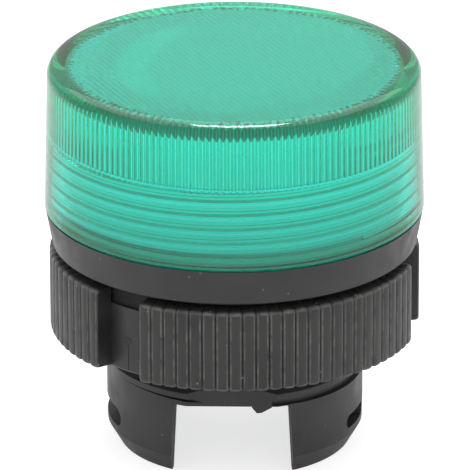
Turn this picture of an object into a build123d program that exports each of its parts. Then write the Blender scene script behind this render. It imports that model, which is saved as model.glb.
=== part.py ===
from build123d import *
import os
from math import atan, cos, degrees, floor, radians, sin, sqrt, tan

os.makedirs("parts", exist_ok=True)

# Head of a panel pilot light, in millimetres.
# The axis of the head is Z, with the lens at the top and two legs at the bottom.
# The origin is on the axis, in the underside of the bezel, where the panel would be.
# Bearings are angles about the axis in degrees, from 0 at the front (-Y) towards +X.

# Barrel, the lower half of the black body, which passes through the panel.
# Its radius is the driving size: every other radius is a wall or a step away from it.
barrel_radius = 9.85
barrel_wall = 1.45
barrel_thread_depth = 0.4
barrel_thread_pitch = 1.15
barrel_thread_land = 0.45
barrel_thread_end = 9.7
barrel_flat_depth = 0.63
spigot_step = 1.15
spigot_depth = 1.6
runout_slope = 0.038
runout_start_bearing = -64.0

# Legs below the barrel, with the window between them and the bayonet slots
body_depth = 16.15
leg_taper = 0.05
leg_taper_height = 3.4
leg_lead_in_depth = 0.86
leg_lead_in_height = 1.5
window_top_depth = 10.25
window_half_width = 4.2
window_flare = 0.32
window_side_angle = 9.0
window_corner_round = 0.4
slot_rise = 2.05
left_slot_height = 1.5
left_slot_bearings = (-119.0, -61.0)
right_slot_height = 1.1
right_slot_bearings = (62.0, 84.0)
tooth_offset = 1.53
tooth_width = 1.53
tooth_height = 0.55
tooth_thickness = 0.7

# Rubber gasket between the bezel and the nut
gasket_clearance = 0.1
gasket_width = 1.3
gasket_thickness = 1.9

# Ring nut that clamps the head to the panel
nut_gasket_gap = 0.3
nut_running_gap = 0.1
nut_rim_top = 0.6
nut_rim_height = 6.4
nut_rim_step = 1.47
nut_lip_height = 0.2
nut_lead_in = 0.5
rib_depth = 0.3
rib_flat_share = 0.78
rib_head_height = 0.35
rib_head_inset = 0.15
ribs_per_run = 25
notch_width_in_ribs = 4
notch_count = 3
first_notch_bearing = -37.5

# Bezel and collar, the upper half of the body
bezel_inset = 0.22
bezel_flare = 0.5
bezel_height = 2.8
bezel_foot_chamfer = 0.1
collar_height = 2.4
collar_wall = 1.2
collar_lead_in = 0.3
well_floor_thickness = 1.2

# Lens: a clear coloured cap that screws down over the collar of the body
lens_overhang = 0.05
lens_wall = 1.9
lens_running_gap = 0.15
lens_draft = 1.5
lens_height = 11.5
lens_edge_radius = 0.82
lens_top_thickness = 1.05
lens_rim_chamfer = 0.2
flute_count = 160
flute_depth = 0.28
flute_step = 0.15
flute_zone_height = 4.3

# Rubber ring under the rim of the lens
seal_clearance = 0.05
seal_width = 0.6
seal_height = 0.7

# Radii that follow from the barrel outward
lamp_bore_radius = barrel_radius - barrel_wall
spigot_radius = barrel_radius + spigot_step
gasket_inner_radius = spigot_radius + gasket_clearance
gasket_outer_radius = gasket_inner_radius + gasket_width
nut_core_radius = gasket_outer_radius + nut_gasket_gap
nut_rim_radius = nut_core_radius + nut_rim_step
bezel_foot_radius = nut_rim_radius - bezel_inset
bezel_top_radius = bezel_foot_radius + bezel_flare
lens_base_radius = bezel_top_radius + lens_overhang
collar_radius = lens_base_radius - lens_wall
cap_bore_radius = collar_radius + lens_running_gap
flute_bore_radius = cap_bore_radius - flute_step
seal_inner_radius = collar_radius + seal_clearance
seal_outer_radius = seal_inner_radius + seal_width

# Heights that follow from the underside of the bezel
lens_top = bezel_height + lens_height
lens_ceiling = lens_top - lens_top_thickness
flute_foot = lens_ceiling - flute_zone_height
collar_top = bezel_height + collar_height
seal_top = bezel_height + seal_height
nut_top = -nut_rim_top
nut_foot = nut_top - nut_rim_height


def on_circle(radius, bearing, height=0.0):
    """Point on a circle about the axis, at a bearing from the front."""
    angle = radians(bearing)
    return (radius * sin(angle), -radius * cos(angle), height)


def turned(points):
    """Solid of revolution whose half section is a closed outline of radius and height."""
    outline = Polyline([(radius, 0, height) for radius, height in points], close=True)
    return revolve(make_face(outline), Axis.Z)


def thread_points(crest, root, start, end, pitch, land):
    """Section of a thread drawn as rings, from start upward: crest lands with vee grooves between."""
    points = []
    for turn in range(floor((end - start) / pitch)):
        foot = start + turn * pitch
        points.append((crest, foot))
        points.append((crest, foot + land))
        points.append((root, foot + (pitch + land) / 2))
    return points


def arc_cutter(inner, outer, low, high, bearings):
    """Curved bar between two bearings, with round ends, that cuts a slot in a wall."""
    start, end = bearings
    middle = (inner + outer) / 2
    half = (high - low) / 2
    end_angle = degrees(half / middle)
    bar = Polyline([(inner, 0, low), (outer, 0, low), (outer, 0, high), (inner, 0, high)], close=True)
    sweep_angle = end - start - 2 * end_angle
    cutter = revolve(make_face(bar), Axis.Z, revolution_arc=sweep_angle)
    cutter = Rot(0, 0, start + end_angle - 90) * cutter
    for bearing in (start + end_angle, end - end_angle):
        centre = on_circle(middle, bearing, (low + high) / 2)
        outward = on_circle(1, bearing)
        round_end = Plane(origin=centre, z_dir=outward) * Cylinder(half, outer - inner)
        cutter += round_end
    return cutter


def make_lens():
    """Cap with a drafted wall and a rounded top edge, and with vertical flutes inside its upper wall."""
    top_radius = lens_base_radius - lens_height * tan(radians(lens_draft))
    cap = turned([
        (0, bezel_height),
        (lens_base_radius - lens_rim_chamfer, bezel_height),
        (lens_base_radius, bezel_height + lens_rim_chamfer),
        (top_radius, lens_top),
        (0, lens_top),
    ])
    top_edges = cap.edges().group_by(Axis.Z)[-1].filter_by(GeomType.CIRCLE)
    cap = fillet(top_edges, lens_edge_radius)

    recess_radius = seal_outer_radius + lens_running_gap
    recess_top = seal_top + lens_running_gap
    cap -= turned([
        (0, bezel_height),
        (recess_radius, bezel_height),
        (recess_radius, recess_top),
        (cap_bore_radius, recess_top),
        (cap_bore_radius, flute_foot),
        (0, flute_foot),
    ])

    points = []
    step = 360 / flute_count
    for index in range(flute_count):
        points.append(on_circle(flute_bore_radius, index * step, flute_foot))
        points.append(on_circle(flute_bore_radius + flute_depth, (index + 0.5) * step, flute_foot))
    star = make_face(Polyline(points, close=True))
    return cap - extrude(star, flute_zone_height, dir=(0, 0, 1))


def make_lens_seal():
    """Flat ring round the foot of the collar, under the rim of the lens."""
    return turned([
        (seal_inner_radius, bezel_height),
        (seal_outer_radius, bezel_height),
        (seal_outer_radius, seal_top),
        (seal_inner_radius, seal_top),
    ])


def make_body():
    """Bezel, collar, barrel and legs, moulded in one piece."""
    well_radius = collar_radius - collar_wall
    leg_foot_radius = barrel_radius - leg_taper
    foot = -body_depth
    outline = [(lamp_bore_radius, foot), (leg_foot_radius - leg_lead_in_depth, foot)]
    outline += [(leg_foot_radius, foot + leg_lead_in_height)]
    outline += [(barrel_radius, foot + leg_taper_height)]
    outline += thread_points(
        barrel_radius,
        barrel_radius - barrel_thread_depth,
        -barrel_thread_end,
        -spigot_depth,
        barrel_thread_pitch,
        barrel_thread_land,
    )
    outline += [(barrel_radius, -spigot_depth), (spigot_radius, -spigot_depth), (spigot_radius, 0)]
    outline += [(bezel_foot_radius - bezel_foot_chamfer, 0), (bezel_foot_radius, bezel_foot_chamfer)]
    outline += [(bezel_top_radius, bezel_height), (collar_radius, bezel_height)]
    outline += [(collar_radius, collar_top - collar_lead_in)]
    outline += [(collar_radius - collar_lead_in, collar_top), (well_radius, collar_top)]
    outline += [(well_radius, well_floor_thickness), (lamp_bore_radius, well_floor_thickness)]
    body = turned(outline)

    body -= make_flats()
    body -= make_runout()
    for gap in make_window():
        body -= gap
    slot_low = foot + slot_rise
    slots = ((left_slot_height, left_slot_bearings), (right_slot_height, right_slot_bearings))
    for height, bearings in slots:
        body -= arc_cutter(lamp_bore_radius - 1, barrel_radius + 1, slot_low, slot_low + height, bearings)
    return body + make_index_tooth()


def make_flats():
    """Two slabs that take the front and the back off the thread, down to the feet."""
    height = body_depth - spigot_depth
    slab = Box(2 * barrel_radius, barrel_radius, height, align=(Align.CENTER, Align.MIN, Align.MAX))
    back = Pos(0, barrel_radius - barrel_flat_depth, -spigot_depth) * slab
    return back + mirror(back, Plane.XZ)


def make_runout():
    """Groove under the last crest of the thread, whose lower shoulder slopes up to nothing."""
    start_x = barrel_radius * sin(radians(runout_start_bearing))
    depth = runout_slope * (barrel_radius - start_x)
    ring = turned([
        (barrel_radius - barrel_thread_depth, -barrel_thread_end - depth),
        (barrel_radius + 1, -barrel_thread_end - depth),
        (barrel_radius + 1, -barrel_thread_end),
        (barrel_radius - barrel_thread_depth, -barrel_thread_end),
    ])
    reach = 4 * barrel_radius
    below = Box(reach, reach, reach, align=(Align.CENTER, Align.CENTER, Align.MAX))
    shoulder = Pos(start_x, 0, -barrel_thread_end) * Rot(0, degrees(atan(runout_slope)), 0) * below
    return ring - shoulder


def make_window():
    """Gap through the barrel from front to back, which leaves the two legs and widens on its way out."""
    low = -body_depth - 1
    spread = window_half_width + window_flare * (low + window_top_depth) / (window_top_depth - body_depth)
    side_slope = tan(radians(window_side_angle))
    bore_edge = sqrt(lamp_bore_radius**2 - window_half_width**2)
    gaps = []
    for side in (-1, 1):
        sections = []
        for reach in (lamp_bore_radius / 2, 1.5 * barrel_radius):
            widening = side_slope * (reach - bore_edge)
            outline = Polyline([
                (-spread - widening, side * reach, low),
                (spread + widening, side * reach, low),
                (window_half_width + widening, side * reach, -window_top_depth),
                (-window_half_width - widening, side * reach, -window_top_depth),
            ], close=True)
            sections.append(make_face(outline))
        gap = loft(sections)
        corners = gap.edges().group_by(Axis.Z)[-1].filter_by(lambda edge: abs(edge.tangent_at(0).Y) > 0.5)
        gaps.append(fillet(corners, window_corner_round))
    return gaps


def make_index_tooth():
    """Small tooth that hangs from the top of the window at the front flat."""
    face_y = barrel_flat_depth - barrel_radius
    root = -window_top_depth + tooth_thickness
    tip = -window_top_depth - tooth_height
    right = tooth_offset + tooth_width
    outline = Polyline([
        (tooth_offset, face_y, root),
        (tooth_offset, face_y, tip + 0.85 * tooth_height),
        (tooth_offset + 0.25 * tooth_width, face_y, tip),
        (tooth_offset + 0.5 * tooth_width, face_y, tip + 0.1 * tooth_height),
        (right, face_y, tip + 0.9 * tooth_height),
        (right, face_y, root),
    ], close=True)
    return extrude(make_face(outline), tooth_thickness, dir=(0, 1, 0))


def make_panel_gasket():
    """Rubber ring round the spigot, between the bezel and the core of the nut."""
    return turned([
        (gasket_inner_radius, -gasket_thickness),
        (gasket_outer_radius, -gasket_thickness),
        (gasket_outer_radius, 0),
        (gasket_inner_radius, 0),
    ])


def rib_points(first_bearing, rib_angle):
    """Plan of one rib: the bottom of the groove before it, then both ends of its flat crest."""
    middle = first_bearing + rib_angle / 2
    half_flat = rib_angle * rib_flat_share / 2
    return [
        on_circle(nut_rim_radius - rib_depth, first_bearing),
        on_circle(nut_rim_radius, middle - half_flat),
        on_circle(nut_rim_radius, middle + half_flat),
    ]


def make_ring_nut():
    """Ribbed rim with three key notches, round a lower core that carries the thread."""
    run_angle = 360 / notch_count
    rib_angle = run_angle / (ribs_per_run + notch_width_in_ribs)
    half_notch = notch_width_in_ribs * rib_angle / 2
    edges = []
    for run in range(notch_count):
        notch = first_notch_bearing + run * run_angle
        points = []
        for rib in range(ribs_per_run):
            points += rib_points(notch + half_notch + rib * rib_angle, rib_angle)
        next_notch = notch + run_angle
        corner = on_circle(nut_core_radius, notch + half_notch)
        next_corner = on_circle(nut_core_radius, next_notch - half_notch)
        last = on_circle(nut_rim_radius - rib_depth, next_notch - half_notch)
        edges += Polyline([corner, *points, last, next_corner]).edges()
        notch_end = on_circle(nut_core_radius, next_notch + half_notch)
        edges.append(ThreePointArc(next_corner, on_circle(nut_core_radius, next_notch), notch_end))
    plan = make_face(edges)

    reach = nut_rim_radius + rib_depth
    head_radius = nut_rim_radius - rib_head_inset
    rim = extrude(Pos(0, 0, nut_foot) * plan, nut_rim_height, dir=(0, 0, 1))
    rim &= turned([
        (0, nut_foot),
        (head_radius, nut_foot),
        (reach, nut_foot + rib_head_height * (reach - head_radius) / rib_head_inset),
        (reach, nut_top - rib_head_height * (reach - head_radius) / rib_head_inset),
        (head_radius, nut_top),
        (0, nut_top),
    ])

    bore = barrel_radius + nut_running_gap
    lip = nut_foot - nut_lip_height
    lip_plug = turned([
        (0, lip),
        (nut_core_radius - nut_lip_height, lip),
        (nut_core_radius, nut_foot),
        (0, nut_foot),
    ])
    hollow = turned([
        (0, lip),
        (bore + nut_lead_in, lip),
        (bore, lip + nut_lead_in),
        (bore, -gasket_thickness),
        (nut_core_radius, -gasket_thickness),
        (nut_core_radius, nut_top),
        (0, nut_top),
    ])
    return rim + lip_plug - hollow


pieces = {
    "lens": make_lens(),
    "lens_seal": make_lens_seal(),
    "body": make_body(),
    "panel_gasket": make_panel_gasket(),
    "ring_nut": make_ring_nut(),
}

for name, piece in pieces.items():
    piece.label = name
    export_step(piece, f"parts/{name}.step")
    print(name, "solids", len(piece.solids()), "volume", round(piece.volume, 2))
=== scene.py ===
# %% [markdown]
# # The head of a panel pilot light
# This lesson dresses a measured model of the head of a panel pilot light: a green lens cap, the black body
# that it screws on, the ribbed ring nut that clamps the head in a panel, and two rubber rings.
# The measured model is loaded first. It fixes where each piece is and how large it is, so every size below
# is either read from it or is a small local one, such as the depth of a groove.
# Sizes are in millimetres and angles in degrees, unless the text says otherwise.

from math import atan2, ceil, cos, degrees, hypot, pi, radians, sin, tan

import bmesh
import bpy
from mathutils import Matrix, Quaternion, Vector
from mathutils.geometry import delaunay_2d_cdt


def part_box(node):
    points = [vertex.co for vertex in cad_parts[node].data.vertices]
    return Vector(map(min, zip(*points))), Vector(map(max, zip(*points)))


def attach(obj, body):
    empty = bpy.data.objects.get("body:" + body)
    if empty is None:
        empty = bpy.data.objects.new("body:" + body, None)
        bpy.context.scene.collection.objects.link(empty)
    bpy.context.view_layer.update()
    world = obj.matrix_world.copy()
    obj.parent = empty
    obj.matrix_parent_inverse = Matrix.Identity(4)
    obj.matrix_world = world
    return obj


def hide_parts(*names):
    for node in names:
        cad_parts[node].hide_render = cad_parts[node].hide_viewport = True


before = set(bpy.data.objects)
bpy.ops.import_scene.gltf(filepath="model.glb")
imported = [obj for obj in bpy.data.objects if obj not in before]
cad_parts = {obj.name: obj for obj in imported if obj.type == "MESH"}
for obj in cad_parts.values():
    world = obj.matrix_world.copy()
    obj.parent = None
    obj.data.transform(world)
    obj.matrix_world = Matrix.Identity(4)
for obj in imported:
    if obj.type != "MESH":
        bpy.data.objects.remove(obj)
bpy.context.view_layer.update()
bpy.context.scene.view_settings.view_transform = "Standard"
MM = 0.001

# %% [markdown]
# ## Places on a turned piece
# Almost every piece here is turned about the same axis. It is easier to think of a point on it as a radius,
# a bearing about the axis and a height than as X, Y and Z. The bearing starts at the front and grows
# towards +X. The first helper turns such a point into Blender's metres, the second gives the direction from
# the head towards a camera or lamp, and the third reads the sizes of a piece of the measured model.

# %% Helpers for places and sizes
def place(radius, bearing, height):
    """Point in metres, from a radius and a height in millimetres and a bearing in degrees."""
    angle = radians(bearing)
    return Vector((radius * sin(angle), -radius * cos(angle), height)) * MM


def direction(azimuth, elevation):
    """Direction that points away from the head, from two angles in degrees."""
    a, e = radians(azimuth), radians(elevation)
    return Vector((sin(a) * cos(e), -cos(a) * cos(e), sin(e)))


def measured(node):
    """Outer radius, foot and top of a node of the measured model, in millimetres."""
    low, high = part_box(node)
    sizes = (max(high.x, -low.x) / MM, low.z / MM, high.z / MM)
    print(node, "radius, foot and top, mm:", [round(v, 2) for v in sizes])
    return sizes


lens_radius, lens_foot, lens_top = measured("lens")

# %% [markdown]
# ## Camera
# The photograph was taken with a long lens from a little above the head, so its ellipses hardly change from
# the top to the bottom. The angle, the distance and the focal length were fitted to those ellipses. A camera
# could be moved by hand until the picture looks right, but the fit also gives the pixel where one point of
# the axis lies, so here the camera is turned until that point falls there.

# %% Camera
picture_side = 470
focal_in_pixels = 6940
sensor_width = 36.0
camera_distance = 530.0
camera_azimuth = 1.5
camera_elevation = 21.467
camera_roll = 0.134
nearest_seen, farthest_seen = 10.0, 20000.0
seam_height = lens_foot
seam_pixel = (234.5, 201.956)


def add_camera():
    """Camera that puts the middle of the seam under the lens on its pixel of the photograph."""
    back = direction(camera_azimuth, camera_elevation)
    right = Vector((cos(radians(camera_azimuth)), sin(radians(camera_azimuth)), 0))
    up = back.cross(right)
    seam = Vector((0, 0, seam_height))
    pixel_size = camera_distance / focal_in_pixels
    right_of_seam = picture_side / 2 - seam_pixel[0]
    below_seam = picture_side / 2 - seam_pixel[1]
    aim = seam + right * pixel_size * right_of_seam - up * pixel_size * below_seam
    spot = seam + back * camera_distance
    data = bpy.data.cameras.new("camera")
    data.sensor_width = sensor_width
    data.lens = focal_in_pixels / picture_side * sensor_width
    data.clip_start = nearest_seen * MM
    data.clip_end = farthest_seen * MM
    camera = bpy.data.objects.new("camera", data)
    bpy.context.scene.collection.objects.link(camera)
    camera.location = spot * MM
    camera.rotation_mode = "QUATERNION"
    turn = (aim - spot).to_track_quat("-Z", "Y")
    roll_axis = (aim - spot).normalized()
    camera.rotation_quaternion = Quaternion(roll_axis, radians(camera_roll)) @ turn
    bpy.context.scene.camera = camera
    return camera


camera = add_camera()
print("camera at", [round(v, 4) for v in camera.location], "lens", round(camera.data.lens, 1))

# %% [markdown]
# ## Writing shader nodes as formulas
# A material is a tree of nodes, and a tree can be drawn by hand in the shader editor. A script that adds and
# links every node in full is long to read. So each helper below adds one node and hands back its output,
# and takes either a fixed value or the output of another node wherever it is given a value.

# %% Helpers for shader nodes
def feed(tree, socket, value):
    """Links a socket to the output of another node, or sets it to a fixed number or colour."""
    if isinstance(value, bpy.types.NodeSocket):
        tree.links.new(value, socket)
    else:
        socket.default_value = value


def ranged(tree, value, low, high, start=0.0, end=1.0):
    """Value that goes from low to high while the given one goes from start to end, and never beyond."""
    node = tree.nodes.new("ShaderNodeMapRange")
    feed(tree, node.inputs["Value"], value)
    feed(tree, node.inputs["From Min"], start)
    feed(tree, node.inputs["From Max"], end)
    feed(tree, node.inputs["To Min"], low)
    feed(tree, node.inputs["To Max"], high)
    return node.outputs["Result"]


def calculated(tree, operation, first, second):
    """Result of one calculation with two values."""
    node = tree.nodes.new("ShaderNodeMath")
    node.operation = operation
    feed(tree, node.inputs[0], first)
    feed(tree, node.inputs[1], second)
    return node.outputs[0]


def blended(tree, share, under, over):
    """Mix of two colours: a share of 0 gives the first one and a share of 1 the second."""
    node = tree.nodes.new("ShaderNodeMix")
    node.data_type = "RGBA"
    feed(tree, node.inputs["Factor"], share)
    feed(tree, node.inputs["A"], under)
    feed(tree, node.inputs["B"], over)
    return node.outputs["Result"]


def new_material(name):
    """Material with Blender's usual first shader, and its tree of nodes."""
    material = bpy.data.materials.new(name)
    material.use_nodes = True
    return material, material.node_tree


def describe(material):
    """Prints the name of a finished material and how many nodes it has."""
    print(material.name, "nodes", len(material.node_tree.nodes))


# %% [markdown]
# ## Floor and surroundings
# The photograph is a white studio shot. A brighter world would make the background white, but it would also
# wash out the head. So the strength depends on the kind of ray. The camera's own rays see white, the rays
# that only light a surface find a plain level, and reflected or bent rays find a third, dimmer one, so that
# gloss and clear plastic show a pale studio and don't clip. The floor does the same with a glow that lights
# nothing, and its matte part keeps the soft shadow of the head.

# %% Surroundings
ambient_level = 1.22
mirrored_level = 0.7
shown_level = 1.0
white = (1.0, 1.0, 1.0, 1.0)


def level_by_ray(tree, lighting, mirrored, shown):
    """Strength for a ray that only lights a surface, for a reflected or bent one, and for the camera's."""
    path = tree.nodes.new("ShaderNodeLightPath")
    glossy, through = path.outputs["Is Glossy Ray"], path.outputs["Is Transmission Ray"]
    not_seen = ranged(tree, calculated(tree, "MAXIMUM", glossy, through), lighting, mirrored)
    return ranged(tree, path.outputs["Is Camera Ray"], not_seen, shown)


def white_surroundings():
    """World that shows white and lights the pieces at the ambient level."""
    world = bpy.data.worlds.new("studio")
    bpy.context.scene.world = world
    world.use_nodes = True
    tree = world.node_tree
    background = tree.nodes["Background"]
    background.inputs["Color"].default_value = white
    level = level_by_ray(tree, ambient_level, mirrored_level, shown_level)
    tree.links.new(level, background.inputs["Strength"])


white_surroundings()
print("surroundings light, mirror and show", ambient_level, mirrored_level, shown_level)

# %% Floor
floor_grey = 0.5
floor_glow = 0.7
floor_glow_mirrored = 0.25
floor_reach = 3000.0
_, feet, _ = measured("body")


def pale_floor():
    """Matte grey floor with a glow for the camera and a fainter one for reflections."""
    material, tree = new_material("pale_floor")
    tree.nodes.clear()
    matte = tree.nodes.new("ShaderNodeBsdfDiffuse")
    matte.inputs["Color"].default_value = (floor_grey, floor_grey, floor_grey, 1)
    glow = tree.nodes.new("ShaderNodeEmission")
    level = level_by_ray(tree, 0.0, floor_glow_mirrored, floor_glow)
    tree.links.new(level, glow.inputs["Strength"])
    both = tree.nodes.new("ShaderNodeAddShader")
    tree.links.new(matte.outputs[0], both.inputs[0])
    tree.links.new(glow.outputs[0], both.inputs[1])
    output = tree.nodes.new("ShaderNodeOutputMaterial")
    tree.links.new(both.outputs[0], output.inputs["Surface"])
    return material


def studio_floor():
    """Large pale floor at the height of the feet."""
    mesh = bpy.data.meshes.new("floor")
    reach = floor_reach * MM
    corners = [(x * reach, y * reach, feet * MM) for x, y in ((-1, -1), (1, -1), (1, 1), (-1, 1))]
    mesh.from_pydata(corners, [], [(0, 1, 2, 3)])
    mesh.materials.append(pale_floor())
    plane = bpy.data.objects.new("floor", mesh)
    bpy.context.scene.collection.objects.link(plane)


studio_floor()
print("floor at", round(feet, 2), "mm")

# %% [markdown]
# ## Lamps
# A single large lamp would light the head well enough, but its highlight on the lens edge would be a smear.
# So there are two square lamps, both above and behind the head. The large one gives the broad sheen on the
# upward faces. The small one draws the short white line along the front of the lens edge, and its place was
# tried out until that line fell where the photograph has it. Both are weak, because the surroundings already
# give most of the light.

# %% Lamps
def soft_lamp(name, side, power, azimuth, elevation, distance):
    """Square lamp that faces the middle of the head, with its power in watts."""
    data = bpy.data.lights.new(name, "AREA")
    data.shape = "SQUARE"
    data.size = side * MM
    data.energy = power
    lamp = bpy.data.objects.new(name, data)
    bpy.context.scene.collection.objects.link(lamp)
    outward = direction(azimuth, elevation)
    lamp.location = outward * distance * MM
    lamp.rotation_mode = "QUATERNION"
    lamp.rotation_quaternion = (-outward).to_track_quat("-Z", "Y")
    print(name, power, "W at", [round(v, 2) for v in lamp.location])


soft_lamp("overhead_lamp", side=900, power=2.6, azimuth=180, elevation=62, distance=800)
soft_lamp("edge_lamp", side=240, power=1.9, azimuth=180, elevation=66, distance=900)

# %% [markdown]
# ## A skin from columns of points
# A thread, a fluted wall or a ribbed rim is the same outline at every bearing, only a little shifted or
# drawn in. A lathe modifier can't do that, and carving would need slow cuts. So each piece is written as
# columns: for every bearing, one list of points along the outline. Joining each column to the next gives a
# clean skin of quads, and points that fall on each other are merged, which closes corners and run-outs by
# themselves.

# %% Skin helpers
merge_distance = 0.0002
crease_angle = 30.0


def skin(name, columns, looped=False, caps=(), mark=None):
    """Object whose mesh joins each column of points to the next. The last column closes the turn.

    Caps are extra points, with their faces and the mark of each face. For the other faces, mark gives a
    number from the places of the column and the row, and the material reads it later."""
    rows = len(columns[0])
    points = [point for column in columns for point in column]
    faces, marks = [], []
    for index in range(len(columns) - 1):
        here, there = index * rows, (index + 1) * rows
        for row in range(rows if looped else rows - 1):
            above = (row + 1) % rows
            faces.append((here + row, there + row, there + above, here + above))
            marks.append(mark(index, row) if mark else 0.0)
    for cap_points, cap_faces, cap_marks in caps:
        faces += [[len(points) + i for i in face] for face in cap_faces]
        marks += cap_marks
        points += cap_points
    mesh = bpy.data.meshes.new(name)
    mesh.from_pydata(points, [], faces)
    mesh.attributes.new("mark", "FLOAT", "FACE").data.foreach_set("value", marks)
    clean(mesh)
    piece = bpy.data.objects.new(name, mesh)
    bpy.context.scene.collection.objects.link(piece)
    report(piece)
    return piece


def clean(mesh):
    """Merges points that meet, drops faces with no area, turns faces outward and keeps corners sharp."""
    work = bmesh.new()
    work.from_mesh(mesh)
    bmesh.ops.remove_doubles(work, verts=work.verts, dist=merge_distance * MM)
    bmesh.ops.dissolve_degenerate(work, edges=work.edges, dist=merge_distance * MM)
    bmesh.ops.recalc_face_normals(work, faces=work.faces)
    for face in work.faces:
        face.smooth = True
    for edge in work.edges:
        edge.smooth = edge.is_manifold and edge.calc_face_angle(pi) < radians(crease_angle)
    work.to_mesh(mesh)
    work.free()


def report(piece):
    """Prints what a finished piece is made of."""
    work = bmesh.new()
    work.from_mesh(piece.data)
    open_edges = sum(not edge.is_manifold for edge in work.edges)
    work.free()
    piece.data.calc_loop_triangles()
    print(piece.name, "triangles", len(piece.data.loop_triangles), "open edges", open_edges)


# %% [markdown]
# ## Lens: a mark for each kind of face
# The lens is one clear moulding. Its outside is smooth, and all of its pattern is inside: a thread low down,
# upright flutes above it, and a field of tiny pyramids under the top. Each of these is real geometry here,
# because clear plastic shows them by bending light, which a bump on the surface can't do. Every kind of face
# sends light back in its own way. Several materials on one mesh could show that, but the lens is one piece
# of plastic with one slot. So each face carries a number, its mark, and one material reads it.

# %% Marks of the lens
# Three marks paint light into the tint: one gives painted shade, and two give painted highlights on the
# flute crests, the thread roots and the line under the flutes.
outside_mark, painted_shade_mark, ceiling_mark = 0.0, 0.2, 0.4
wall_mark, painted_highlight_mark, foot_highlight_mark = 0.6, 0.8, 1.0
print("marks of the lens:", outside_mark, painted_shade_mark, ceiling_mark, wall_mark, painted_highlight_mark, foot_highlight_mark)

# %% [markdown]
# ## Lens: the outside
# The outside has a slight draft, so that it leaves its mould, and a rounded top edge. One tight arc would
# give a highlight as thin as a hair. So the arc is tight only up to where it turns towards the top, and a
# softer one leads on into the flat top. A bevel modifier with its usual profile gives one radius, so the two
# arcs are written as points of the outline.

# %% Outside of the lens
draft = 1.5
rim_chamfer = 0.2
recess_radius = 13.4
edge_radius = 0.82
edge_steps = 12
soft_edge_radius = 2.2
soft_edge_start = 68.0
soft_steps = 6


def lens_outside():
    """Outline of the outside, from the inner corner of the rim to the edge of the flat top."""
    slope = radians(draft)
    edge_height = lens_top - edge_radius
    wall = lens_radius - (edge_height + edge_radius * sin(slope) - lens_foot) * tan(slope)
    edge_centre = wall - edge_radius * cos(slope)
    soft_start = radians(soft_edge_start)
    sunk = (soft_edge_radius - edge_radius) * (1 - sin(soft_start))
    outline = [(recess_radius, lens_foot)]
    outline.append((lens_radius - rim_chamfer, lens_foot))
    outline.append((lens_radius, lens_foot + rim_chamfer))
    for step in range(edge_steps + 1):
        angle = slope + (soft_start - slope) * step / edge_steps
        height = edge_height - sunk + edge_radius * sin(angle)
        outline.append((edge_centre + edge_radius * cos(angle), height))
    soft_centre = edge_centre - (soft_edge_radius - edge_radius) * cos(soft_start)
    for step in range(1, soft_steps + 1):
        angle = soft_start + (pi / 2 - soft_start) * step / soft_steps
        height = lens_top - soft_edge_radius + soft_edge_radius * sin(angle)
        outline.append((soft_centre + soft_edge_radius * cos(angle), height))
    return outline


outside_rows = len(lens_outside())
print("outside of the lens:", outside_rows, "points, flat top", round(lens_outside()[-1][0], 2), "mm")

# %% [markdown]
# ## Lens: the thread
# The lens screws on the collar of the body. A screw modifier could turn a thread, but not one that stops at
# the rim and under the flutes. Here the thread is the same few steps at every bearing, only a little higher
# as the turn goes on, and what would pass either end is held there. The crests and roots of the real thread
# catch the light as fine dark and pale lines, so each one has a narrow line of faces with its own mark,
# which
# paints that light in: painted shade on the crests and a painted highlight on the roots.

# %% Thread of the lens
recess_top = 3.65
cap_bore = 12.75
thread_depth = 0.42
thread_pitch = 1.13
thread_land = 0.42
thread_line = 0.07


def one_pitch():
    """Steps up the axis, radii and marks of one pitch. A mark is that of the face above its point."""
    flank = (thread_pitch - 2 * thread_land) / 2
    crest = (0, cap_bore, painted_shade_mark)
    root = (thread_land + flank, cap_bore + thread_depth, painted_highlight_mark)
    shape = []
    for start, radius, line_mark in (crest, root):
        shape.append((start, radius, wall_mark))
        shape.append((start + (thread_land - thread_line) / 2, radius, line_mark))
        shape.append((start + (thread_land + thread_line) / 2, radius, wall_mark))
        shape.append((start + thread_land, radius, line_mark))
    return shape


def thread_rows(turn, top):
    """Outline of the thread at one part of a turn, from the recess in the rim up to the given height."""
    rows = []
    for count in range(-1, ceil((top - recess_top) / thread_pitch) + 1):
        for step, radius, _ in thread_shape:
            height = recess_top + (count + turn) * thread_pitch + step
            if recess_top < height < top:
                rows.append((radius, height))
            else:
                rows.append((cap_bore, min(max(height, recess_top), top)))
    return rows


thread_shape = one_pitch()
print("thread:", len(thread_shape), "points in a pitch of", thread_pitch, "mm")

# %% [markdown]
# ## Lens: the flutes
# The flutes are upright grooves with narrow crests between them, and each crest carries a painted highlight.
# Their feet end in a slight wave over a bright line, which is a painted highlight, and at the shoulder they
# fade into a row of dark teeth, which are painted shade. An array modifier could repeat one flute, but its
# seams would have to be welded to the thread and to the top. As part of the columns the
# flutes need only a wall that moves in and out with the bearing.

# %% Flutes
flute_count = 160
points_per_flute = 6
flute_crest = 1 / points_per_flute
flute_radius = 12.6
flute_depth = 0.25
flute_foot = 8.95
flute_foot_wave = 0.1
edge_line = 0.18
shoulder_foot = 12.7
shoulder_tooth = 0.45
top_thickness = 1.05
ceiling = lens_top - top_thickness


def flute_shape(share):
    """Depth of a flute across its width: 0 on the narrow crest between two flutes and 1 in the middle."""
    if share <= flute_crest:
        return 0.0
    return 1 - abs(2 * (share - flute_crest) / (1 - flute_crest) - 1)


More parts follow.
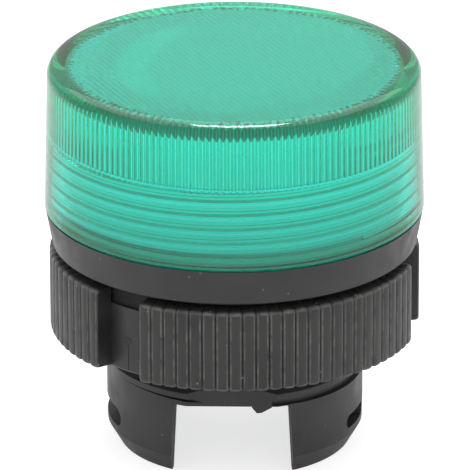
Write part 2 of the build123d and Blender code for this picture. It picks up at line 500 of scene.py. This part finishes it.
def lens_columns():
    """Columns of the lens, from the flat top down the outside, round the rim and up the inside."""
    outside = lens_outside()[::-1]
    columns, rim = [], []
    count = flute_count * points_per_flute
    for index in range(count + 1):
        bearing = 360 * index / count
        turn = index / count
        shape = flute_shape(index % points_per_flute / points_per_flute)
        wall = flute_radius + flute_depth * shape
        foot = flute_foot - flute_foot_wave * shape
        shoulder = shoulder_foot + shoulder_tooth * shape
        inside = [(recess_radius, recess_top), (cap_bore, recess_top)]
        inside += thread_rows(turn, foot - edge_line)
        inside += [(cap_bore, foot), (wall, foot), (wall, shoulder), (wall, ceiling)]
        columns.append([place(radius, bearing, height) for radius, height in outside + inside])
        rim.append(place(wall, bearing, ceiling))
    return columns, rim[:-1]


columns_of_lens, ceiling_rim = lens_columns()
rows_of_lens = len(columns_of_lens[0])
print("lens columns:", len(columns_of_lens), "with", rows_of_lens, "points in each")

# %% Marks of the lens wall
first_thread_row = outside_rows + 2
edge_line_row, flute_foot_row, flute_row, shoulder_row = range(rows_of_lens - 5, rows_of_lens - 1)


def lens_mark(index, row):
    """Mark of a face of the lens wall, from the places of its column and its row."""
    if row < outside_rows - 1:
        return outside_mark
    in_recess = row <= outside_rows
    # The rim recess and the band under the shoulder get painted shade.
    if in_recess or row == shoulder_row:
        return painted_shade_mark
    if row == edge_line_row:
        return foot_highlight_mark
    if row in (flute_foot_row, flute_row):
        on_crest = index % points_per_flute == 0
        return painted_highlight_mark if on_crest else wall_mark
    return thread_shape[(row - first_thread_row) % len(thread_shape)][2]


print("thread from row", first_thread_row, "and flutes from row", flute_foot_row)

# %% [markdown]
# ## Lens: the field of pyramids
# The underside of the top is covered by a square field of small pyramids, turned a little about the axis.
# They send light back the way it came, which is why the top looks pale and sparkles. A displaced grid would
# blur their edges, and cutting the field with a boolean would be slow. The field has to end at the wavy line
# of the flutes, so its corners, tips and border go to Blender's triangulation, which keeps the given edges.

# %% Grid of pyramids
cell = 0.427
field_turn = 26.7
field_margin = 0.03
pyramid_height = 0.2


def pyramid_grid():
    """Corners and tips of the pyramids seen from above, the height of each, and the edges between them."""
    field_radius = flute_radius - field_margin
    reach = ceil(field_radius / cell) + 1
    turn_cos, turn_sin = cos(radians(field_turn)), sin(radians(field_turn))
    flat, heights, edges, index_of = [], [], [], {}

    def point(column, row, height):
        key = (column, row)
        if hypot(*key) * cell > field_radius:
            return None
        if key not in index_of:
            index_of[key] = len(flat)
            x, y = column * cell, row * cell
            flat.append(Vector((x * turn_cos - y * turn_sin, x * turn_sin + y * turn_cos)) * MM)
            heights.append(height)
        return index_of[key]

    for column in range(-reach, reach):
        for row in range(-reach, reach):
            corners = [(column, row), (column + 1, row), (column + 1, row + 1), (column, row + 1)]
            ring = [point(x, y, ceiling) for x, y in corners]
            tip = point(column + 0.5, row + 0.5, ceiling - pyramid_height)
            edges += [(ring[i], ring[(i + 1) % 4]) for i in range(4)]
            edges += [(corner, tip) for corner in ring]
    tips = sum(height < ceiling for height in heights)
    print("pyramid tips", tips, "inside a radius of", field_radius, "mm")
    return flat, heights, edges


# %% Field of pyramids
# Size and count of the dark teeth along the border of the ceiling, which are painted shade.
shoulder_ring = 12.1
shoulder_teeth = 130
shoulder_tooth_length = 0.6
# Kind 1 of Blender's triangulation keeps only the triangles inside the border.
inside_the_border = 1
touching_distance = 1e-9


def ceiling_face_mark(middle):
    """Mark of a face of the ceiling: painted shade in the pointed teeth along its border."""
    share = atan2(middle.y, middle.x) / (2 * pi) * shoulder_teeth % 1
    edge = shoulder_ring + shoulder_tooth_length * abs(2 * share - 1)
    return painted_shade_mark if hypot(middle.x, middle.y) > edge * MM else ceiling_mark


def pyramid_field(rim):
    """Points, triangles and marks of the ceiling: whole pyramids, and cut ones along the flutes."""
    flat, heights, edges = pyramid_grid()
    start, count = len(flat), len(rim)
    flat += [Vector((p.x, p.y)) for p in rim]
    heights += [ceiling] * count
    edges += [(start + i, start + (i + 1) % count) for i in range(count)]
    edges = sorted({tuple(sorted(edge)) for edge in edges if None not in edge})
    found = delaunay_2d_cdt(flat, edges, [], inside_the_border, touching_distance)
    spots, _, triangles, sources, _, _ = found
    points = [Vector((p.x, p.y, heights[source[0]] * MM)) for p, source in zip(spots, sources)]
    marks = []
    for face in triangles:
        middle = sum((points[i] for i in face), Vector()) / len(face)
        marks.append(ceiling_face_mark(middle))
    print("ceiling triangles", len(triangles))
    return points, [list(face) for face in triangles], marks


# %% Lens
def make_lens():
    """Lens with a smooth outside and its thread, flutes and pyramids inside."""
    lid = [column[0] for column in columns_of_lens[:-1]]
    lid.append(Vector((0, 0, lens_top * MM)))
    count = len(lid) - 1
    fan = [[i, (i + 1) % count, count] for i in range(count)]
    caps = [(lid, fan, [outside_mark] * count), pyramid_field(ceiling_rim)]
    piece = skin("lens_cap", columns_of_lens, caps=caps, mark=lens_mark)
    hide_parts("lens")
    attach(piece, "lens")
    return piece


lens_cap = make_lens()

# %% [markdown]
# ## Lens: clear green plastic
# The plastic takes red out of the light, the more the further it travels, and it shines because every flute,
# pyramid and thread flank throws light back out. Clear plastic alone would be true to the real lens, but a
# path tracer finds only part of those many reflections, and the lens turns dark. So the inner faces help:
# each is partly clear, partly a mirror and partly matte, in the tint of its mark. Where the black collar
# stands close behind the thread, less light comes back, so there the faces are clearer and the lens is
# darker.
# Towards the top the faces mirror more, which paints in the light that enters through the top.

# %% Values of the green plastic
lens_roughness = 0.02
lens_refraction = 1.57
absorption_colour = (0.0, 0.995, 0.95, 1.0)
absorption_density = 1000.0
# Among these tints, the dark one is painted shade, and the pale one and the foot highlight one are painted
# highlights.
inner_tints = {
    painted_shade_mark: (0.0, 0.45, 0.31, 1.0),
    ceiling_mark: (0.0, 1.0, 0.94, 1.0),
    wall_mark: (0.0, 0.87, 0.74, 1.0),
    painted_highlight_mark: (0.6, 1.0, 1.0, 1.0),
    foot_highlight_mark: (0.0, 1.0, 1.0, 1.0),
}
# Towards the foot the faces are clearer, so the collar darkens them, and towards the top they mirror more,
# which paints in light from above.
clear_below, clear_above = 0.42, 0.04
mirror_below, mirror_above = 0.28, 0.75
ceiling_mirror = 0.45
change_foot, change_top = 3.2, 12.5
half_step = painted_shade_mark / 2
print("green plastic changes from", change_foot, "to", change_top, "mm")


# %% Helpers of the green plastic
def on_the_piece(tree):
    """Coordinates that stay with the piece when it moves."""
    return tree.nodes.new("ShaderNodeTexCoord").outputs["Object"]


def face_mark(tree):
    """Mark of the face, as skin stored it, and 0 on a piece that has no marks."""
    attribute = tree.nodes.new("ShaderNodeAttribute")
    attribute.attribute_name = "mark"
    return attribute.outputs["Fac"]


def by_height(tree, low, high):
    """Value that changes with the height on the piece, from one at the foot to another at the top."""
    split = tree.nodes.new("ShaderNodeSeparateXYZ")
    tree.links.new(on_the_piece(tree), split.inputs[0])
    return ranged(tree, split.outputs["Z"], low, high, change_foot * MM, change_top * MM)


def tint_of(tree, mark):
    """Tint of each mark, from a ramp that changes half-way between two marks. The outside stays white."""
    node = tree.nodes.new("ShaderNodeValToRGB")
    ramp = node.color_ramp
    ramp.interpolation = "CONSTANT"
    ramp.elements.remove(ramp.elements[1])
    ramp.elements[0].color = white
    for value, tint in inner_tints.items():
        ramp.elements.new(value - half_step).color = tint
    tree.links.new(mark, node.inputs["Fac"])
    return node.outputs["Color"]


# %% Clear green plastic
def clear_green():
    """Clear green plastic, smooth outside and partly mirroring inside."""
    material, tree = new_material("clear_green")
    plastic = tree.nodes["Principled BSDF"]
    plastic.inputs["Roughness"].default_value = lens_roughness
    plastic.inputs["IOR"].default_value = lens_refraction
    mark = face_mark(tree)
    on_inside = calculated(tree, "GREATER_THAN", mark, half_step)
    on_wall = calculated(tree, "GREATER_THAN", mark, ceiling_mark + half_step)
    clear = ranged(tree, on_inside, 1.0, by_height(tree, clear_below, clear_above))
    wall_mirror = by_height(tree, mirror_below, mirror_above)
    mirror = ranged(tree, on_inside, 0.0, ranged(tree, on_wall, ceiling_mirror, wall_mirror))
    tree.links.new(tint_of(tree, mark), plastic.inputs["Base Color"])
    tree.links.new(clear, plastic.inputs["Transmission Weight"])
    tree.links.new(mirror, plastic.inputs["Metallic"])
    depth = tree.nodes.new("ShaderNodeVolumeAbsorption")
    depth.inputs["Color"].default_value = absorption_colour
    depth.inputs["Density"].default_value = absorption_density
    tree.links.new(depth.outputs[0], tree.nodes["Material Output"].inputs["Volume"])
    describe(material)
    return material


lens_cap.data.materials.append(clear_green())

# %% [markdown]
# ## Ring nut
# The nut clamps the head in the panel. Its rim is ribbed for the fingers and has three notches for a key.
# The ribs are nearly flat and round off towards narrow grooves, and their ends are rounded too, which gives
# the rim its wavy lower edge. One rib could be modelled and repeated by an array modifier, but the notches
# break the row. So each rib gets six columns of points, which drop away from the crest, and the columns
# near a groove also end a little higher.

# %% Sizes of the ring nut
ribs_per_run = 25
notch_width_in_ribs = 4
notch_count = 3
first_notch = -37.5
groove_depth = 0.13
edge_drop, edge_share = 0.055, 0.08
crown_drop, crown_share = 0.015, 0.2
# Each point of a rib is a share of its width and a drop from the crest.
rib_shape = (
    (0.0, groove_depth),
    (edge_share, edge_drop),
    (crown_share, crown_drop),
    (0.5, 0.0),
    (1 - crown_share, crown_drop),
    (1 - edge_share, edge_drop),
)
# Each step of a rounded head is a distance back from the rim and one down from the end of the rib.
head_steps = ((0.26, 0.0), (0.09, 0.05), (0.0, 0.24))
nut_bore = 9.95
nut_lead_in = 0.5
lip_height = 0.2
gasket_gap = 0.3
nut_radius, nut_foot, nut_top = measured("ring_nut")
gasket_radius, recess_floor, _ = measured("panel_gasket")
core_radius = gasket_radius + gasket_gap


# %% Columns of the ring nut
def nut_outline(rim):
    """Outline of the nut where its rim has one radius, down the outside and back up the bore."""
    foot = nut_foot + lip_height
    if rim > core_radius:
        rise = nut_radius - rim
        head = [(rim - back, nut_top - rise - down) for back, down in head_steps]
        heel = [(rim - back, foot + rise + up) for back, up in head_steps[::-1]]
        outside = [(core_radius, nut_top), *head, *heel, (core_radius, foot)]
    else:
        outside = [(core_radius, recess_floor)] * (len(head_steps) + 1)
        outside += [(core_radius, foot)] * (len(head_steps) + 1)
    inside = [
        (core_radius - lip_height, nut_foot),
        (nut_bore + nut_lead_in, nut_foot),
        (nut_bore, nut_foot + nut_lead_in),
        (nut_bore, recess_floor),
        (core_radius, recess_floor),
    ]
    return outside + inside


def nut_columns():
    """Columns of the nut: the ribs of each run, then the notch after it."""
    run_angle = 360 / notch_count
    rib_angle = run_angle / (ribs_per_run + notch_width_in_ribs)
    places = []
    for run in range(notch_count):
        start = first_notch + run * run_angle + notch_width_in_ribs / 2 * rib_angle
        places.append((start, core_radius))
        for rib in range(ribs_per_run):
            places += [(start + (rib + share) * rib_angle, nut_radius - drop) for share, drop in rib_shape]
        end = start + ribs_per_run * rib_angle
        places.append((end, nut_radius - groove_depth))
        places += [(end + step * rib_angle, core_radius) for step in range(notch_width_in_ribs)]
    places.append((places[0][0] + 360, core_radius))
    print("nut columns:", len(places), "with", len(nut_outline(nut_radius)), "points in each")
    return [[place(r, bearing, z) for r, z in nut_outline(rim)] for bearing, rim in places]


# %% Ring nut
def nut_mark(index, row):
    """Mark of 1 on the rounded edges and heads of the ribs: paler for rubbed wear and a painted highlight.
    """
    columns_of_ribs = ribs_per_run * len(rib_shape)
    walls_of_notch = 2
    column = index % (columns_of_ribs + walls_of_notch + notch_width_in_ribs) - 1
    on_rim = 1 <= row <= 2 * len(head_steps) - 1
    if not on_rim or not 0 <= column < columns_of_ribs:
        return 0.0
    on_edge = column % len(rib_shape) in (1, len(rib_shape) - 2)
    on_head = row != len(head_steps)
    return 1.0 if on_edge or on_head else 0.0


def make_nut():
    """Ribbed ring nut."""
    piece = skin("ribbed_ring_nut", nut_columns(), looped=True, mark=nut_mark)
    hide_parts("ring_nut")
    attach(piece, "ring_nut")
    return piece


ribbed_nut = make_nut()

# %% [markdown]
# ## Gate scar and knit line
# Plastic enters the mould at a gate, and its stub leaves a small round scar. Below it is the knit line,
# where the two streams of plastic met. Both are in the notch at the front left. A bump in the material could
# show them, but it would be lost in the exported mesh. They are so small that each is a low skin laid on the
# wall of the notch, written with the same columns as the large pieces.

# %% Gate scar and knit line
scar_bearing = -37.9
scar_height = -4.6
scar_sides = 24
scar_radius = 0.34
scar_sunk = 0.1
# Each ring of the scar is a radius and a height over the wall of the notch.
scar_top = ((0.0, 0.0), (0.13, 0.01), (0.17, 0.06), (0.27, 0.06))
scar_rings = (*scar_top, (scar_radius, 0.0), (scar_radius, -scar_sunk), (0.0, -scar_sunk))
line_width = 0.09
line_proud = 0.03


def on_notch_wall(across, up, proud):
    """Point near the scar on the wall of the notch, from two distances along the wall and one out of it."""
    return place(core_radius + proud, scar_bearing + degrees(across / core_radius), scar_height + up)


def nut_detail(name, columns, looped):
    """Small detail on the wall of a notch, which moves with the nut."""
    piece = skin(name, columns, looped)
    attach(piece, "ring_nut")
    return piece


def gate_scar():
    """Round scar with a low rim."""
    columns = []
    for side in range(scar_sides + 1):
        angle = 2 * pi * side / scar_sides
        columns.append([on_notch_wall(r * sin(angle), r * cos(angle), proud) for r, proud in scar_rings])
    return nut_detail("gate_scar", columns, looped=False)


def knit_line():
    """Thin upright ridge from the scar down to the foot of the notch."""
    length = scar_height - (nut_foot + lip_height)
    top = [(-scar_radius, -line_proud), (-scar_radius, line_proud)]
    ends = [*top, (-length, line_proud), (-length, -line_proud)]
    places = (-line_width / 2, 0.0, line_width / 2)
    middle = [[on_notch_wall(across, up, proud) for up, proud in ends] for across in places]
    start = [on_notch_wall(places[0], up, -line_proud) for up, _ in ends]
    end = [on_notch_wall(places[-1], up, -line_proud) for up, _ in ends]
    return nut_detail("knit_line", [start, *middle, end], looped=True)


nut_details = [gate_scar(), knit_line()]

# %% [markdown]
# ## Black plastic and rubber
# A flat dark grey looks like paint. Moulded black plastic has a fine grain from the steel of the mould,
# patches that are a little glossier, paler edges where fingers rub, and some pale dust. A photograph of such
# plastic could be laid on the pieces, but it would need unwrapping and would show seams. Noise textures on
# the piece's own coordinates do without: one bends the surface, one changes the roughness, others change the
# grey and the paler edges, and cells with a speck in each set the dust. The paler edges of the nut's ribs
# are partly rubbed wear and partly a painted highlight, which stands in for the glints along those edges.

# %% Grain, patches and dust
grain_size, grain_detail = 0.12, 3
gloss_size, gloss_detail = 1.5, 6
patch_size, patch_detail = 3.0, 4
rub_and_highlight_size, rub_and_highlight_detail = 0.8, 5
noise_low, noise_high = 0.3, 0.7
dust_spacing = 1.4
dust_radius = 0.055


def noise(tree, size, detail):
    """Noise whose features are about as large as the given size."""
    texture = tree.nodes.new("ShaderNodeTexNoise")
    texture.inputs["Scale"].default_value = 1 / (size * MM)
    texture.inputs["Detail"].default_value = detail
    tree.links.new(on_the_piece(tree), texture.inputs["Vector"])
    return texture.outputs["Fac"]


def spread_noise(tree, size, detail, low=0.0, high=1.0):
    """Noise whose middle range is spread between two values."""
    return ranged(tree, noise(tree, size, detail), low, high, noise_low, noise_high)


def dust_specks(tree):
    """Value of 1 in small specks, each somewhere in its own cell."""
    cells = tree.nodes.new("ShaderNodeTexVoronoi")
    cells.inputs["Scale"].default_value = 1 / (dust_spacing * MM)
    tree.links.new(on_the_piece(tree), cells.inputs["Vector"])
    return calculated(tree, "LESS_THAN", cells.outputs["Distance"], dust_radius)


print("grain", grain_size, "mm, patches", patch_size, "mm, dust every", dust_spacing, "mm")

# %% Black plastic and rubber
darker_patch = (0.75, 0.76, 0.73)
paler_patch = (1.3, 1.31, 1.26)
# Paler colour of the rib edges: partly rubbed wear and partly a painted highlight.
rub_and_highlight_colour = (0.11, 0.11, 0.106, 1.0)
dust_colour = (0.35, 0.34, 0.32, 1.0)
glossier, duller = 0.08, 0.1


def dark_colour(tree, grey, dust):
    """Dark grey in uneven patches, paler edges for wear and a painted highlight, and a share of dust."""
    darker = (*(grey * share for share in darker_patch), 1)
    paler = (*(grey * share for share in paler_patch), 1)
    shade = blended(tree, spread_noise(tree, patch_size, patch_detail), darker, paler)
    rub_and_highlight = calculated(tree, "MULTIPLY", face_mark(tree), spread_noise(tree, rub_and_highlight_size, rub_and_highlight_detail))
    rubbed_and_highlit = blended(tree, rub_and_highlight, shade, rub_and_highlight_colour)
    amount = calculated(tree, "MULTIPLY", dust_specks(tree), dust)
    return blended(tree, amount, rubbed_and_highlit, dust_colour)


def dark_finish(name, grey, roughness, grain_depth, dust):
    """Dark moulded finish with grain, glossier patches and a share of the dust."""
    material, tree = new_material(name)
    plastic = tree.nodes["Principled BSDF"]
    tree.links.new(dark_colour(tree, grey, dust), plastic.inputs["Base Color"])
    uneven = spread_noise(tree, gloss_size, gloss_detail, roughness - glossier, roughness + duller)
    tree.links.new(uneven, plastic.inputs["Roughness"])
    bump = tree.nodes.new("ShaderNodeBump")
    bump.inputs["Distance"].default_value = grain_depth * MM
    tree.links.new(noise(tree, grain_size, grain_detail), bump.inputs["Height"])
    tree.links.new(bump.outputs["Normal"], plastic.inputs["Normal"])
    describe(material)
    return material


# %% Finish the black pieces
def finish_node(node, material):
    """Puts a material on a node of the measured model."""
    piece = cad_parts[node]
    piece.data.materials.clear()
    piece.data.materials.append(material)


body_plastic = dark_finish("body_plastic", grey=0.026, roughness=0.4, grain_depth=0.012, dust=0.3)
gasket_rubber = dark_finish("gasket_rubber", grey=0.012, roughness=0.75, grain_depth=0.02, dust=0.2)
seal_rubber = dark_finish("seal_rubber", grey=0.012, roughness=0.75, grain_depth=0.02, dust=0.0)
nut_plastic = dark_finish("nut_plastic", grey=0.025, roughness=0.38, grain_depth=0.015, dust=0.5)
finish_node("body", body_plastic)
finish_node("panel_gasket", gasket_rubber)
finish_node("lens_seal", seal_rubber)
for piece in (ribbed_nut, *nut_details):
    piece.data.materials.append(nut_plastic)

# %% [markdown]
# ## Light paths
# Light enters the lens, meets many small faces and leaves it again before it reaches the camera. Where a
# path is cut short, that spot of the picture stays darker. Fewer bounces would render faster, so the matte
# and glossy ones, which matter less here, have lower limits than the ones through the plastic.

# %% Light paths
bounces_in_all = 24
bounces_off_gloss = 16
bounces_off_matte = 12
paths = bpy.context.scene.cycles
paths.max_bounces = bounces_in_all
paths.transmission_bounces = bounces_in_all
paths.glossy_bounces = bounces_off_gloss
paths.diffuse_bounces = bounces_off_matte
print("bounces", bounces_in_all, bounces_off_gloss, bounces_off_matte)
